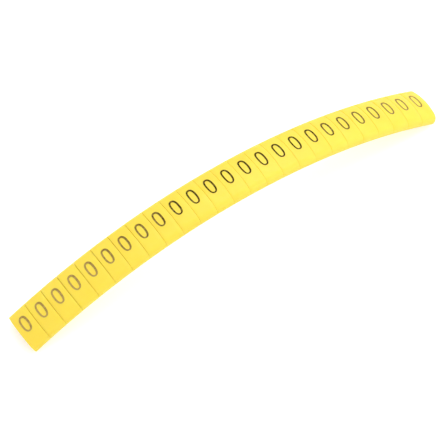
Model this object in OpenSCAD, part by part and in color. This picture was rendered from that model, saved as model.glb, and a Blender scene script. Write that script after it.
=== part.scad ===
// Strip of slide-on cable markers: one extruded oval sleeve, bent by its reel and cut
// almost through into short markers that stay joined by a thin web on the inside of the bend.
// The strip stands on its two ends as an arch: X along the chord, Y across the oval, Z up,
// with the origin on the ground midway between the ends.

/* [Strip] */
// Number of markers left in the strip
marker_count = 25; // [2:1:40]
// Length of one marker from cut to cut, along the printed face
marker_length = 3; // [2:0.1:5]
// Bend radius of the strip, to the crest of the printed face
bend_radius = 82.5; // [60:0.5:300]
// Spare length at each end, beyond the last marker's pitch, where the strip was cut off its reel
end_spare = 0.25; // [0:0.05:0.6]

/* [Oval sleeve] */
// Outside width of the oval, across the strip
sleeve_width = 6.8; // [4.5:0.1:12]
// Outside height of the oval, from its flat underside to the crest of the printed face
sleeve_height = 2.45; // [2.2:0.05:4]
// Wall thickness all round the oval
wall = 0.5; // [0.3:0.05:0.8]
// Outside radius of the oval's two narrow sides
side_radius = 1.05; // [0.9:0.05:1.2]

/* [Cuts] */
// Width of a cut where it opens on the printed face
cut_width = 0.07; // [0.04:0.01:0.3]
// Thickness of the web left under each cut
web = 0.3; // [0.15:0.05:0.5]

/* [Hidden] */
$fn = 96;

// Largest share of the height that a side's radius takes, so that the printed face keeps its crown
side_share = 0.49;
// Smallest radius that the bore keeps at its narrow sides
least_bore_radius = 0.1;
// How far a cut reaches past the outside of the sleeve
cut_over = 1;

side = max(min(side_radius, side_share * sleeve_height), wall + least_bore_radius);
marker_angle = marker_length / bend_radius * 180 / PI;
spare_angle = end_spare / bend_radius * 180 / PI;
bend_angle = marker_count * marker_angle + 2 * spare_angle;
underside_radius = bend_radius - sleeve_height;
ground = underside_radius * cos(bend_angle / 2);

// Oval with its height along X and its width along Y, underside on the Y axis:
// a crowned printed face runs tangent into two round sides, and they into a flat underside
module oval(width, height, side) {
    side_centre = width / 2 - side;
    rise = height - 2 * side;
    crown_drop = (side_centre * side_centre - rise * rise) / (2 * rise);
    crown_radius = crown_drop + height - side;
    join = crown_radius * side_centre / (crown_radius - side);
    intersection() {
        translate([side - crown_drop, 0]) circle(crown_radius);
        translate([side, -join]) square([height, 2 * join]);
    }
    translate([0, -side_centre]) square([side, 2 * side_centre]);
    for (end = [-1, 1]) translate([side, end * side_centre]) circle(side);
}

// Wall of the sleeve in section, even all round
module sleeve_section() {
    difference() {
        oval(sleeve_width, sleeve_height, side);
        translate([wall, 0]) oval(sleeve_width - 2 * wall, sleeve_height - 2 * wall, side - wall);
    }
}

// Bent sleeve before it is cut, swept about Z
module bent_sleeve() {
    rotate_extrude(angle = bend_angle) translate([underside_radius, 0]) sleeve_section();
}

// One knife cut, a thin wedge that ends at the web
module knife_cut() {
    root = underside_radius + web;
    mouth = bend_radius + cut_over;
    half_mouth = cut_width / 2 * (mouth - root) / (bend_radius - root);
    linear_extrude(sleeve_width + 2 * cut_over, center = true)
        polygon([[root, 0], [mouth, -half_mouth], [mouth, half_mouth]]);
}

// The whole strip, stood up as an arch on its two ends
module marker_strip() {
    color("gold")
    translate([0, 0, -ground]) rotate([90, 0, 0]) rotate(90 - bend_angle / 2)
    difference() {
        bent_sleeve();
        for (cut = [1 : marker_count - 1]) rotate(spare_angle + cut * marker_angle) knife_cut();
    }
}

marker_strip();
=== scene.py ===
# %% [markdown]
# # A strip of slide-on cable markers
#
# The object is a short length of soft yellow PVC sleeve, oval in section. A knife has cut it almost
# through every three millimetres, and a zero is printed on each piece. Single markers tear off and
# slide onto a wire. The strip was stored on a reel, so it keeps a bend and stands on its two ends.
#
# The solid model comes first: it fixes the size and the place of everything that follows.

# %% Load the solid strip
import math
import random

import bmesh
import bpy
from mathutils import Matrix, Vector


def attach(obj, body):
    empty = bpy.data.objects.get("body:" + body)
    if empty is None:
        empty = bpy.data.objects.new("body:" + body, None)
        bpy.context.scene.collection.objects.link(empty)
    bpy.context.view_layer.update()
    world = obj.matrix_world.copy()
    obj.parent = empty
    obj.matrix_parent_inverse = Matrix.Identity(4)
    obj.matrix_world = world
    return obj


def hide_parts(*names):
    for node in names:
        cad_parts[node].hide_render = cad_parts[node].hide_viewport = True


def rounded(values, digits=5):
    """Values short enough to read."""
    return [round(value, digits) for value in values]


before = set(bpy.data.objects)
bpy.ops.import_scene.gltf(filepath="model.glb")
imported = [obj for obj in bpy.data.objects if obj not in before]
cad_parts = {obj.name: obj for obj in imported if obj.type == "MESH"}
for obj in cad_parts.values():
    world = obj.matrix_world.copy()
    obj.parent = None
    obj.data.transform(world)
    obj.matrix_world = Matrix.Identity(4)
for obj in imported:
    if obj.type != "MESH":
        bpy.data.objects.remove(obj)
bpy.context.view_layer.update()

# %% [markdown]
# ## Sizes
#
# A maker thinks of this strip in millimetres, and Blender works in metres, so the sizes are written
# in millimetres and turned into metres at the last moment. They are the sizes of the solid.

# %% Sizes in millimetres
MM = 0.001
marker_count = 25
marker_length = 3.0
bend_radius = 82.5
end_spare = 0.25
sleeve_width = 6.8
sleeve_height = 2.45
wall = 0.5
side_radius = 1.05
cut_width = 0.07
web = 0.3

half_length = marker_count * marker_length / 2
half_bend = (half_length + end_spare) / bend_radius
underside_radius = bend_radius - sleeve_height
ground = underside_radius * math.cos(half_bend)

# %% [markdown]
# ## Camera
#
# The picture looks down on the strip from in front and to the left, from far away with a long lens,
# so the near end is only a little larger than the far end. The camera could be placed by eye, but
# the regular row of zeros gives enough points to work the view out: the direction, the distance and
# the focal length below put each zero within a pixel of its place in a square picture.

# %% Camera
picture_pixels = 444
focal_pixels = 2354.6
view_azimuth = math.radians(-35.28)
view_elevation = math.radians(53.69)
view_distance = 339.2
view_aim = Vector((-2.944, -2.472, 4.907))

camera = bpy.data.objects.new("camera", bpy.data.cameras.new("camera"))
bpy.context.collection.objects.link(camera)
camera.data.sensor_width = 36.0
camera.data.lens = focal_pixels * camera.data.sensor_width / picture_pixels
camera.data.clip_start = 0.01
camera.data.clip_end = 20.0
back = Vector((
    math.sin(view_azimuth) * math.cos(view_elevation),
    -math.cos(view_azimuth) * math.cos(view_elevation),
    math.sin(view_elevation),
))
camera.location = (view_aim + back * view_distance) * MM
camera.rotation_mode = "QUATERNION"
camera.rotation_quaternion = (-back).to_track_quat("-Z", "Y")
bpy.context.scene.camera = camera
print("camera lens", round(camera.data.lens, 1), "mm at", rounded(camera.location, 3))

# %% [markdown]
# ## The oval in section
#
# The sleeve's outline is four smooth stretches: a flat underside, two round sides and a gently
# crowned printed face. A circle scaled flat would be quicker to draw, but it would make the sides
# too sharp and the face too round. Here each stretch is a true line or arc, and where two of them
# meet they share a tangent. Each point keeps its outward direction, because the bore, the rounded
# lips and the ink are all measured along it.

# %% Points round the oval
side_centre = sleeve_width / 2 - side_radius
rise = sleeve_height - 2 * side_radius
crown_drop = (side_centre ** 2 - rise ** 2) / (2 * rise)
crown_radius = crown_drop + sleeve_height - side_radius
join_angle = math.atan2(side_centre, crown_drop)
web_angle = math.asin((web - side_radius) / side_radius)
underside_steps = 6
web_steps = 6
side_steps = 16
face_steps = 16


def side_point(angle):
    """Point on a round side, with the angle counted up from level."""
    out = (math.cos(angle), math.sin(angle))
    return side_centre + side_radius * out[0], side_radius + side_radius * out[1], *out


def crown_point(angle):
    """Point on the printed face, with the angle counted from its crest."""
    out = (math.sin(angle), math.cos(angle))
    crown_centre = sleeve_height - crown_radius
    return crown_radius * out[0], crown_centre + crown_radius * out[1], *out


def steps(start, end, count):
    """Values from start up to, but without, end."""
    return [start + (end - start) * i / count for i in range(count)]


def half_oval():
    """Points from the middle of the underside, round one side, to the crest."""
    side_top = math.pi / 2 - join_angle
    points = [(across, 0.0, 0.0, -1.0) for across in steps(0.0, side_centre, underside_steps)]
    points += [side_point(angle) for angle in steps(-math.pi / 2, web_angle, web_steps)]
    points += [side_point(angle) for angle in steps(web_angle, side_top, side_steps)]
    points += [crown_point(angle) for angle in steps(join_angle, 0.0, face_steps)]
    return points + [crown_point(0.0)]


right_half = half_oval()
left_half = [(-across, up, -out, lift) for across, up, out, lift in reversed(right_half[1:-1])]
oval = right_half + left_half
print("oval of", len(oval), "points, crown radius", round(crown_radius, 2), "mm")

# %% [markdown]
# ## The bend
#
# Every point of the strip is first placed on a straight strip: so far along it, so far across, so
# high above the underside. One function then wraps that place onto the bend. A Simple Deform
# modifier would do it too, but a function can be shared by the sleeve and the print, so the zeros
# always lie on the surface.

# %% Place on the bent strip


def on_strip(along, across, up):
    """Place in metres of a point given in millimetres on the straight strip."""
    angle = along / bend_radius
    radius = underside_radius + up
    return Vector((radius * math.sin(angle), across, radius * math.cos(angle) - ground)) * MM


left_crest = on_strip(-half_length - end_spare, 0.0, sleeve_height)
print("left end of the crest at", rounded(left_crest, 4))

# %% [markdown]
# ## The knife cuts
#
# Each cut is a thin wedge that is open on the printed face and closes at the web. Knife and print
# wheel are driven by rollers of their own, so the cuts wander to and fro against the zeros, by
# about a tenth of a millimetre once in fifteen markers, and they lean a little. The knife also
# works fast: one cut stands a hair more open, another sits a hair off its place. Each cut could be
# set by hand, but seeded random numbers give it an opening, a shift and a slant of its own with
# less work, and the same in each run. The soft PVC springs shut behind the blade, a little more at
# the front, where the blade leaves, and most near the middle of the strip, where it was flexed
# least. A cut that shuts tighter also has a sharper lip. The same knife took the strip off its
# reel, so the two ends lean as the cuts do and lie a little beyond the last marker's pitch.

# %% Where each cut is
knife = random.Random(25)
knife_wander = 0.11
wander_length = 15.25
wander_middle = 0.04
cut_shift = 0.02
cut_lean = 0.014
cut_slant = 0.004
cut_spread = 0.22
stays_open = 0.72
opens_back = 0.06
tightest = 0.52
tightest_at = 3.0
tight_length = 12.0
end_shift = {0: -0.07, marker_count: 0.2}
cuts = []
for index in range(marker_count + 1):
    place = (index - marker_count / 2) * marker_length
    if index in end_shift:
        place += end_shift[index]
        cuts.append({"at": place, "open": 0.0, "slant": cut_lean, "slack": 1.0, "end": True})
    else:
        wander = knife_wander * math.cos(2 * math.pi * (index - 1) / wander_length)
        place += wander_middle - wander
        place += knife.uniform(-cut_shift, cut_shift)
        slack = 1 - (1 - tightest) * math.exp(-((place - tightest_at) / tight_length) ** 2)
        opening = slack * cut_width * stays_open * knife.uniform(1 - cut_spread, 1 + cut_spread)
        slant = cut_lean + knife.uniform(-cut_slant, cut_slant)
        cuts.append({"at": place, "open": opening, "slant": slant, "slack": slack, "end": False})
openings = [cut["open"] for cut in cuts if not cut["end"]]
print(len(openings), "cuts,", rounded((min(openings), max(openings)), 3), "mm open")

# %% [markdown]
# ## The sleeve
#
# Cutting the sleeve with Boolean modifiers would leave long thin triangles and hard lips. Instead
# the surface is woven straight from rows and columns. Columns run along the strip, one for each
# point of the oval. Rows run round it, three of them close together at each cut to roll the lip
# over. Columns above the web end at a cut and start afresh behind it. Columns in the web run on.

# %% How the surface meets a cut
lip_radius = 0.045
lip_turn = 0.3
lip_fade = 2.0
# Share of the cut faces' painted shade, a deeper yellow, on the turn of each lip.
lip_shade_share = 0.45
rows_between = 4
hair = 1e-6


def face_of_cut(cut, side, across, up):
    """Place along the strip of one face of a cut: the right one for side 1, the left one for -1."""
    share = max(0.0, up - web) / (sleeve_height - web)
    opening = cut["open"] * (1 + opens_back * across) * share
    return cut["at"] + cut["slant"] * across + side * opening / 2


def lip_depth(cut, up):
    """How deep the lip rolls over: less at a tight cut, and less further down the side."""
    if cut["end"]:
        return lip_radius
    return lip_radius * cut["slack"] * min(1.0, max(0.0, up - web) / lip_fade)


def in_web(cut, up, margin=hair):
    """True where the sleeve runs on under a cut."""
    return not cut["end"] and up < web + margin


def lip_rows(cut, side):
    """Edge, turn and shoulder of a lip: place along the strip, depth and share of cut surface and
    painted shade.
    """
    edge, turn, shoulder = [], [], []
    for across, up, *_ in oval:
        start = face_of_cut(cut, side, across, up)
        depth = lip_depth(cut, up)
        cut_and_shade_share = depth / lip_radius
        edge.append((start, depth, cut_and_shade_share))
        turn.append((start + side * lip_turn * lip_radius, lip_turn * depth, lip_shade_share * cut_and_shade_share))
        shoulder.append((start + side * lip_radius, 0.0, 0.0))
    return [edge, turn, shoulder]


def rows_across(left, right, depth):
    """Rows spread evenly between two others."""
    rows = []
    for i in range(1, rows_between + 1):
        share = i / (rows_between + 1)
        rows.append([(a[0] + (b[0] - a[0]) * share, depth, 0.0) for a, b in zip(left, right)])
    return rows


print("lips roll over by", lip_radius, "mm,", len(lip_rows(cuts[1], 1)), "rows a lip")

# %% Points and faces of the sleeve
sleeve = bmesh.new()
straight_place = sleeve.verts.layers.float_vector.new("straight_place")
cut_face_and_shade = sleeve.verts.layers.float.new("cut_face_and_shade")


def add_point(column, along, depth, cut_and_shade_share):
    """New point of the sleeve, which remembers its place on the straight strip and how much cut
    face and painted shade it carries.
    """
    across, up, out, lift = oval[column]
    place = Vector((along, across - depth * out, up - depth * lift))
    point = sleeve.verts.new(on_strip(*place))
    point[straight_place] = place
    point[cut_face_and_shade] = cut_and_shade_share
    return point


def add_row(row):
    """Row of points round the sleeve."""
    return [add_point(column, *spot) for column, spot in enumerate(row)]


def add_edge_row(cut, row):
    """Edge of a marker, which uses the neighbour's points where the web runs on."""
    points = []
    for column, spot in enumerate(row):
        if not in_web(cut, oval[column][1]):
            points.append(add_point(column, *spot))
            continue
        if column not in cut["web"]:
            cut["web"][column] = add_point(column, *spot)
        points.append(cut["web"][column])
    return points


def add_root_row(cut, edge):
    """Outline of a cut's face: the edge of the marker, closed by the straight root of the cut."""
    points = list(edge)
    for column, (across, up, _, lift) in enumerate(oval):
        if not in_web(cut, up, -hair):
            continue
        if column not in cut["root"]:
            depth = (up - web) / lift
            root = cut["at"] + cut["slant"] * across
            cut["root"][column] = add_point(column, root, depth, 1.0)
        points[column] = cut["root"][column]
    return points


def weave(first, second):
    """Faces between two rows of points that go round the oval."""
    for column in range(len(oval)):
        after = (column + 1) % len(oval)
        sleeve.faces.new((first[column], first[after], second[after], second[column]))


print("each row has", len(oval), "points")

# %% Weave all the markers
# The bore's edge at a cut carries half the painted shade of the cut face.
bore_shade_share = 0.5


def bore_row(cut, side):
    """Edge of the bore at a cut."""
    row = []
    for across, up, out, lift in oval:
        start = face_of_cut(cut, side, across - wall * out, up - wall * lift)
        row.append((start, wall, bore_shade_share))
    return row


def add_marker(left, right):
    """One marker between two cuts: its outside, its bore and its two cut faces."""
    left_lip = lip_rows(left, 1)
    right_lip = lip_rows(right, -1)
    left_edge = add_edge_row(left, left_lip[0])
    right_edge = add_edge_row(right, right_lip[0])
    outside = left_lip[1:] + rows_across(left_lip[2], right_lip[2], 0.0) + right_lip[:0:-1]
    outside = [left_edge] + [add_row(row) for row in outside] + [right_edge]
    bore_ends = bore_row(left, 1), bore_row(right, -1)
    bore = [bore_ends[0]] + rows_across(*bore_ends, wall) + [bore_ends[1]]
    bore = [add_row(row) for row in bore]
    for rows in (outside, bore):
        for first, second in zip(rows, rows[1:]):
            weave(first, second)
    weave(add_root_row(left, left_edge), bore[0])
    weave(add_root_row(right, right_edge), bore[-1])


for cut in cuts:
    cut["web"] = {}
    cut["root"] = {}
for left, right in zip(cuts, cuts[1:]):
    add_marker(left, right)
open_edges = [edge for edge in sleeve.edges if len(edge.link_faces) != 2]
bmesh.ops.recalc_face_normals(sleeve, faces=sleeve.faces)
volume = round(sleeve.calc_volume() / MM ** 3, 1)
print(len(sleeve.faces), "faces,", len(open_edges), "open edges,", volume, "mm3")

# %% Sleeve as an object
sleeve_smooth_degrees = 50


def make_object(name, built, smooth_degrees):
    """Turns points and faces into an object that moves with the strip, smooth up to an angle."""
    mesh = bpy.data.meshes.new(name)
    built.to_mesh(mesh)
    built.free()
    mesh.shade_smooth()
    mesh.set_sharp_from_angle(angle=math.radians(smooth_degrees))
    made = bpy.data.objects.new(name, mesh)
    bpy.context.collection.objects.link(made)
    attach(made, "root")
    return made


sleeve_strip = make_object("sleeve_strip", sleeve, sleeve_smooth_degrees)
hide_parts("marker_strip")
print(sleeve_strip.name, "has", len(sleeve_strip.data.polygons), "faces")

# %% [markdown]
# ## The printed zeros
#
# Each marker has one narrow zero, printed a little off the middle because the printing wheel and
# the knife run one after the other. The wheel runs a little out of true, so the row of zeros also
# wanders across the strip, and it presses harder at the back and on the right of each zero. A
# texture could show the print, but it would blur in a close view. So each zero is a thin film of
# ink: a ring that follows a rounded oblong, wrapped onto the crowned face, a few thousandths of a
# millimetre proud, and with a wider stroke where the wheel pressed. Its rim dips under the surface,
# so no gap shows from any side, and its edge wobbles a little, as wet ink does on plastic.

# %% Shape of one zero
zero_width = 1.35
zero_height = 2.8
zero_stroke = 0.275
zero_squareness = 2.55
zero_points = 72
fine_points = 2000


def rounded_oblong(turn, half_width, half_height):
    """Point on a rounded oblong, between an ellipse and a box."""
    power = 2 / zero_squareness
    c, s = math.cos(turn), math.sin(turn)
    along = half_width * math.copysign(abs(c) ** power, c)
    across = half_height * math.copysign(abs(s) ** power, s)
    return Vector((along, across))


def stroke_line():
    """Middle of the stroke, evenly spaced, with its outward direction."""
    half_width = (zero_width - zero_stroke) / 2
    half_height = (zero_height - zero_stroke) / 2
    turns = [2 * math.pi * i / fine_points for i in range(fine_points)]
    fine = [rounded_oblong(turn, half_width, half_height) for turn in turns]
    lengths = [0.0]
    for first, second in zip(fine, fine[1:] + fine[:1]):
        lengths.append(lengths[-1] + (second - first).length)
    points, reach = [], 0
    for i in range(zero_points):
        while lengths[reach + 1] < lengths[-1] * i / zero_points:
            reach += 1
        points.append(fine[reach])
    line = []
    for before, here, after in zip(points[-1:] + points, points, points[1:] + points[:1]):
        run = (after - before).normalized()
        line.append((here, Vector((run.y, -run.x))))
    return line


zero_line = stroke_line()
print("zero of", len(zero_line), "points,", zero_width, "by", zero_height, "mm")

# %% Ring of ink for one zero
ink = bmesh.new()
ink_place = ink.verts.layers.float_vector.new("straight_place")
ink_press = ink.verts.layers.float.new("ink_press")
print_wheel = random.Random(9)
zero_lean = 0.016
ink_proud = 0.004
ink_sink = 0.01
ink_rim = 0.012
ink_wobble = 0.007
# Up to here the strokes are widest and the painted reflection on the zeros is strongest.
glare_until = -26.0
full_from = -6.0
left_end_spread = 0.15
press_right = 0.085
press_back = 0.18
half_stroke = zero_stroke / 2
ink_section = [
    (-half_stroke, -ink_sink),
    (-half_stroke + ink_rim, ink_proud),
    (0.0, ink_proud),
    (half_stroke - ink_rim, ink_proud),
    (half_stroke, -ink_sink),
    (0.0, -ink_sink),
]


def on_face(along, around, proud):
    """Place on the straight strip of a point on the crowned face, or a little above it."""
    across, up, out, lift = crown_point(around / crown_radius)
    return Vector((along, across + proud * out, up + proud * lift))


def add_zero(middle, off_crest):
    """Ring of ink round one place on the face, wider towards the left end and where pressed harder.
    """
    full = min(1.0, max(0.0, (middle - glare_until) / (full_from - glare_until)))
    widen = 1 + left_end_spread * (1 - full)
    rings = []
    for here, outward in zero_line:
        ring = []
        inner, outer = [print_wheel.uniform(-ink_wobble, ink_wobble) for _ in range(2)]
        press = 1 + press_right * outward.x + press_back * outward.y
        for offset, proud in ink_section:
            wobble = outer if offset > 0 else inner if offset < 0 else 0.0
            spot = here + outward * (offset * widen * press + wobble)
            place = on_face(middle + spot.x + zero_lean * spot.y, off_crest + spot.y, proud)
            point = ink.verts.new(on_strip(*place))
            point[ink_place] = place
            point[ink_press] = (press - 1) * (1 - full)
            ring.append(point)
        rings.append(ring)
    for first, second in zip(rings, rings[1:] + rings[:1]):
        for i in range(len(ink_section)):
            j = (i + 1) % len(ink_section)
            ink.faces.new((first[i], first[j], second[j], second[i]))


print("ink stands", ink_proud, "mm proud, with", len(ink_section), "points across its stroke")

# %% Print a zero on every marker
print_along = -0.09
print_across = 0.212
print_wander = 0.08
print_wander_length = 13.7
print_front_at = 4
ink_smooth_degrees = 25
for index in range(marker_count):
    wander = print_wander * math.cos(2 * math.pi * (index - print_front_at) / print_wander_length)
    middle = (index - (marker_count - 1) / 2) * marker_length + print_along
    add_zero(middle, print_across - wander)
bmesh.ops.recalc_face_normals(ink, faces=ink.faces)
printed_zeros = make_object("printed_zeros", ink, ink_smooth_degrees)
print(marker_count, "zeros of", len(printed_zeros.data.polygons), "faces")

# %% [markdown]
# ## Yellow PVC
#
# Soft PVC is a satin plastic, a little translucent, so light creeps into the thin lips of the cuts.
# The die leaves faint lines along the sleeve, and the pigment is never quite even. The knife leaves
# the cut faces duller, with fine drag lines the way the blade went, and the cut faces and the lips
# of the cuts are painted a deeper, darker yellow: painted shade of the narrow slits. Painted
# pictures could show all this, but they need an unwrapped surface. Here the texture is computed
# from the place on the straight strip that each point remembers, so the die lines follow the bend,
# and a second value on each point says where the cut faces and their painted shade are.

# %% Helpers for materials
noise_low = 0.3
noise_high = 0.7


def new_material(name):
    """Empty material with one all-round shader."""
    material = bpy.data.materials.new(name)
    material.use_nodes = True
    tree = material.node_tree
    return material, tree, tree.nodes["Principled BSDF"]


def remembered(tree, name):
    """What each point of a mesh remembers under a name, as a number or as a place."""
    attribute = tree.nodes.new("ShaderNodeAttribute")
    attribute.attribute_name = name
    return attribute.outputs


def noise(tree, place, scale, stretch=(1, 1, 1), detail=2.0):
    """Noise on a stretched copy of a place."""
    stretched = tree.nodes.new("ShaderNodeMapping")
    stretched.inputs["Scale"].default_value = stretch
    texture = tree.nodes.new("ShaderNodeTexNoise")
    texture.inputs["Scale"].default_value = scale
    texture.inputs["Detail"].default_value = detail
    tree.links.new(place, stretched.inputs["Vector"])
    tree.links.new(stretched.outputs["Vector"], texture.inputs["Vector"])
    return texture.outputs["Fac"]


def spread(tree, value, low, high, start=noise_low, end=noise_high):
    """Maps a span of values to a range, which is the usual span of a noise if none is given."""
    mapped = tree.nodes.new("ShaderNodeMapRange")
    mapped.inputs["From Min"].default_value = start
    mapped.inputs["From Max"].default_value = end
    mapped.inputs["To Min"].default_value = low
    mapped.inputs["To Max"].default_value = high
    tree.links.new(value, mapped.inputs["Value"])
    return mapped.outputs["Result"]


def combine(tree, operation, *values, clamp=False):
    """One step of arithmetic on values that vary and on fixed numbers."""
    step = tree.nodes.new("ShaderNodeMath")
    step.operation = operation
    step.use_clamp = clamp
    for socket, value in zip(step.inputs, values):
        if isinstance(value, float):
            socket.default_value = value
        else:
            tree.links.new(value, socket)
    return step.outputs["Value"]


def blend_colours(tree, share, first, second):
    """Colour between two others."""
    mix = tree.nodes.new("ShaderNodeMix")
    mix.data_type = "RGBA"
    for name, colour in (("A", first), ("B", second)):
        if isinstance(colour, tuple):
            mix.inputs[name].default_value = (*colour, 1.0)
        else:
            tree.links.new(colour, mix.inputs[name])
    tree.links.new(share, mix.inputs["Factor"])
    return mix.outputs["Result"]


def add_bump(tree, height, strength, depth, below=None):
    """Bump of a depth in millimetres, on top of another one."""
    bump = tree.nodes.new("ShaderNodeBump")
    bump.inputs["Distance"].default_value = depth * MM
    tree.links.new(height, bump.inputs["Height"])
    if isinstance(strength, float):
        bump.inputs["Strength"].default_value = strength
    else:
        tree.links.new(strength, bump.inputs["Strength"])
    if below:
        tree.links.new(below, bump.inputs["Normal"])
    return bump.outputs["Normal"]


print("a noise is taken to run from", noise_low, "to", noise_high)

# %% Yellow PVC
deep_yellow = (0.985, 0.7, 0.05)
light_yellow = (0.995, 0.73, 0.06)
# Deeper, darker yellow of the cut faces and lips: painted shade of the slits.
cut_shade_yellow = (0.95, 0.6, 0.006)
pigment_scale = 0.35
satin_scale = 1.6
satin_smooth = 0.38
satin_rough = 0.5
cut_dullness = 0.2
die_lines = {"scale": 6.0, "stretch": (0.03, 1, 1)}
grain = {"scale": 9.0}
drag_lines = {"scale": 16.0, "stretch": (1, 1, 0.05)}
die_depth = 0.02
grain_depth = 0.012
drag_depth = 0.03
bump_strength = 0.4


def yellow_pvc():
    """Satin yellow PVC with uneven pigment, die lines, a fine grain, and cut faces and lips in
    painted shade.
    """
    material, tree, shader = new_material("satin_yellow_pvc")
    place = remembered(tree, "straight_place")["Vector"]
    cut_and_shade_share = remembered(tree, "cut_face_and_shade")["Fac"]
    pigment = spread(tree, noise(tree, place, pigment_scale), 0.0, 1.0)
    colour = blend_colours(tree, pigment, deep_yellow, light_yellow)
    # Painted shade of the slits on the cut faces and lips.
    colour = blend_colours(tree, cut_and_shade_share, colour, cut_shade_yellow)
    tree.links.new(colour, shader.inputs["Base Color"])
    satin = spread(tree, noise(tree, place, satin_scale), satin_smooth, satin_rough)
    roughness = combine(tree, "MULTIPLY_ADD", cut_and_shade_share, cut_dullness, satin)
    tree.links.new(roughness, shader.inputs["Roughness"])
    shader.inputs["IOR"].default_value = 1.53
    shader.inputs["Subsurface Weight"].default_value = 0.8
    shader.inputs["Subsurface Radius"].default_value = (1.0, 0.85, 0.3)
    shader.inputs["Subsurface Scale"].default_value = 0.3 * MM
    surface = add_bump(tree, noise(tree, place, **die_lines), bump_strength, die_depth)
    surface = add_bump(tree, noise(tree, place, **grain), bump_strength, grain_depth, surface)
    surface = add_bump(tree, noise(tree, place, **drag_lines), cut_and_shade_share, drag_depth, surface)
    tree.links.new(surface, shader.inputs["Normal"])
    return material


sleeve_strip.data.materials.append(yellow_pvc())
print(sleeve_strip.name, "is made of", sleeve_strip.data.materials[0].name)

# %% [markdown]
# ## Dark ink
#
# The ink is a thin film, nearly black where it covers well. On the first markers at the left the
# zeros are painted lighter and brown, a painted reflection of light on the ink, less so where the
# wheel pressed harder. From about the tenth marker on they are dark, and near the right end they
# fade a little again. Each zero could have a material of its own, but one is enough: two ramps
# along the strip mix the brown of the painted reflection with full ink, each point remembers how
# hard it was pressed, and a noise makes the cover uneven within a stroke.

# %% Dark ink
# The first colour is the brown of a painted reflection of light on the left zeros; the second is
# the full dark ink.
glare_brown_ink = (0.5, 0.316, 0.095)
full_ink = (0.06, 0.034, 0.001)
fades_from = 12.0
left_end_dark_share = 0.06
right_end_cover = 0.27
press_cover = 1.2
patches = {"scale": 2.5, "detail": 4.0}
patch_cover = 0.3
gloss_scale = 7.0
gloss_smooth = 0.4
gloss_rough = 0.55


def dark_ink_share(tree, place):
    """Share of full dark ink against the painted reflection: little at the left end, full from
    about the tenth marker on.
    """
    parts = tree.nodes.new("ShaderNodeSeparateXYZ")
    tree.links.new(place, parts.inputs["Vector"])
    along = parts.outputs["X"]
    gains = spread(tree, along, left_end_dark_share, 1.0, start=glare_until, end=full_from)
    fades = spread(tree, along, 1.0, right_end_cover, start=fades_from, end=half_length)
    uneven = spread(tree, noise(tree, place, **patches), -patch_cover, patch_cover)
    pressed = remembered(tree, "ink_press")["Fac"]
    uneven = combine(tree, "MULTIPLY_ADD", pressed, press_cover, uneven)
    return combine(tree, "MULTIPLY_ADD", gains, fades, uneven, clamp=True)


def dark_ink():
    """Dark print, with a painted reflection that turns it brown towards the left end."""
    material, tree, shader = new_material("dark_ink")
    place = remembered(tree, "straight_place")["Vector"]
    # Painted reflection on the left zeros, mixed into the dark ink.
    colour = blend_colours(tree, dark_ink_share(tree, place), glare_brown_ink, full_ink)
    tree.links.new(colour, shader.inputs["Base Color"])
    gloss = spread(tree, noise(tree, place, gloss_scale), gloss_smooth, gloss_rough)
    tree.links.new(gloss, shader.inputs["Roughness"])
    shader.inputs["Specular IOR Level"].default_value = 0.06
    return material


printed_zeros.data.materials.append(dark_ink())
print(printed_zeros.name, "is printed in", printed_zeros.data.materials[0].name)

# %% [markdown]
# ## Floor, light and background
#
# The strip stands on a plain white floor under soft studio light. A broad lamp high on the right
# brightens the far half, a smaller one low in front lights the near side, and an even sky fills the
# rest. Stronger lamps would turn the background white too, but they would wash out the yellow.
# Instead the camera sees floor and sky as white, and the floor still takes the strip's shadow,
# because its own white is added to the light that falls on it.

# %% Floor
white = (1.0, 1.0, 1.0, 1.0)
floor_size = 4.0
floor_white = 0.86
floor_glow = 0.45


def seen_directly(tree, strength):
    """Strength for the camera and for reflections, and none for the light on the object."""
    path = tree.nodes.new("ShaderNodeLightPath").outputs
    seen = combine(tree, "MAXIMUM", path["Is Camera Ray"], path["Is Glossy Ray"])
    seen = combine(tree, "MAXIMUM", seen, path["Is Transmission Ray"])
    return combine(tree, "MULTIPLY", seen, strength)


def white_floor():
    """Matt white that looks a little brighter to the camera than the light on it."""
    material, tree, shader = new_material("white_floor")
    shader.inputs["Base Color"].default_value = (floor_white, floor_white, floor_white, 1.0)
    shader.inputs["Roughness"].default_value = 0.9
    shader.inputs["Specular IOR Level"].default_value = 0.0
    shader.inputs["Emission Color"].default_value = white
    tree.links.new(seen_directly(tree, floor_glow), shader.inputs["Emission Strength"])
    return material


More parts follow.
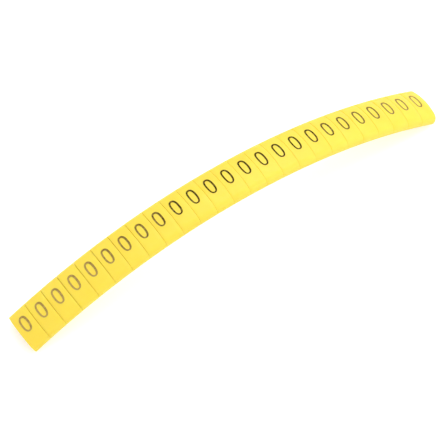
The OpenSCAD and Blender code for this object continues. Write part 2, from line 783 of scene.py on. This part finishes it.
floor_sheet = bmesh.new()
bmesh.ops.create_grid(floor_sheet, x_segments=1, y_segments=1, size=floor_size / 2)
floor_mesh = bpy.data.meshes.new("floor")
floor_sheet.to_mesh(floor_mesh)
floor_sheet.free()
floor = bpy.data.objects.new("floor", floor_mesh)
bpy.context.collection.objects.link(floor)
floor.data.materials.append(white_floor())
print("floor of", floor_size, "m")

# %% Lamps
lamps = {
    "right_lamp": {"towards": (0.45, 0.1, 0.9), "distance": 0.6, "size": 0.5, "power": 1.15},
    "front_lamp": {"towards": (0.62, -0.74, 0.28), "distance": 0.2, "size": 0.16, "power": 0.088},
}


def add_lamp(name, towards, distance, size, power):
    """Square soft lamp that looks at the middle of the strip."""
    lamp = bpy.data.objects.new(name, bpy.data.lights.new(name, "AREA"))
    lamp.data.shape = "SQUARE"
    lamp.data.size = size
    lamp.data.energy = power
    direction = Vector(towards).normalized()
    lamp.location = direction * distance
    lamp.rotation_mode = "QUATERNION"
    lamp.rotation_quaternion = (-direction).to_track_quat("-Z", "Y")
    bpy.context.collection.objects.link(lamp)


for name, lamp in lamps.items():
    add_lamp(name, **lamp)
print(len(lamps), "lamps of", [lamp["power"] for lamp in lamps.values()], "W")

# %% Sky
sky_level = 0.91
backdrop_level = 1.0
sky = bpy.data.worlds.new("sky")
sky.use_nodes = True
sky_tree = sky.node_tree
sky_light = sky_tree.nodes["Background"]
sky_light.inputs["Color"].default_value = white
sky_light.inputs["Strength"].default_value = sky_level
backdrop = sky_tree.nodes.new("ShaderNodeBackground")
backdrop.inputs["Color"].default_value = white
choose = sky_tree.nodes.new("ShaderNodeMixShader")
sky_tree.links.new(seen_directly(sky_tree, backdrop_level), choose.inputs["Fac"])
sky_tree.links.new(sky_light.outputs["Background"], choose.inputs[1])
sky_tree.links.new(backdrop.outputs["Background"], choose.inputs[2])
sky_tree.links.new(choose.outputs["Shader"], sky_tree.nodes["World Output"].inputs["Surface"])
bpy.context.scene.world = sky
bpy.context.scene.view_settings.view_transform = "Standard"
print("sky of", sky_level, "before a backdrop of", backdrop_level)
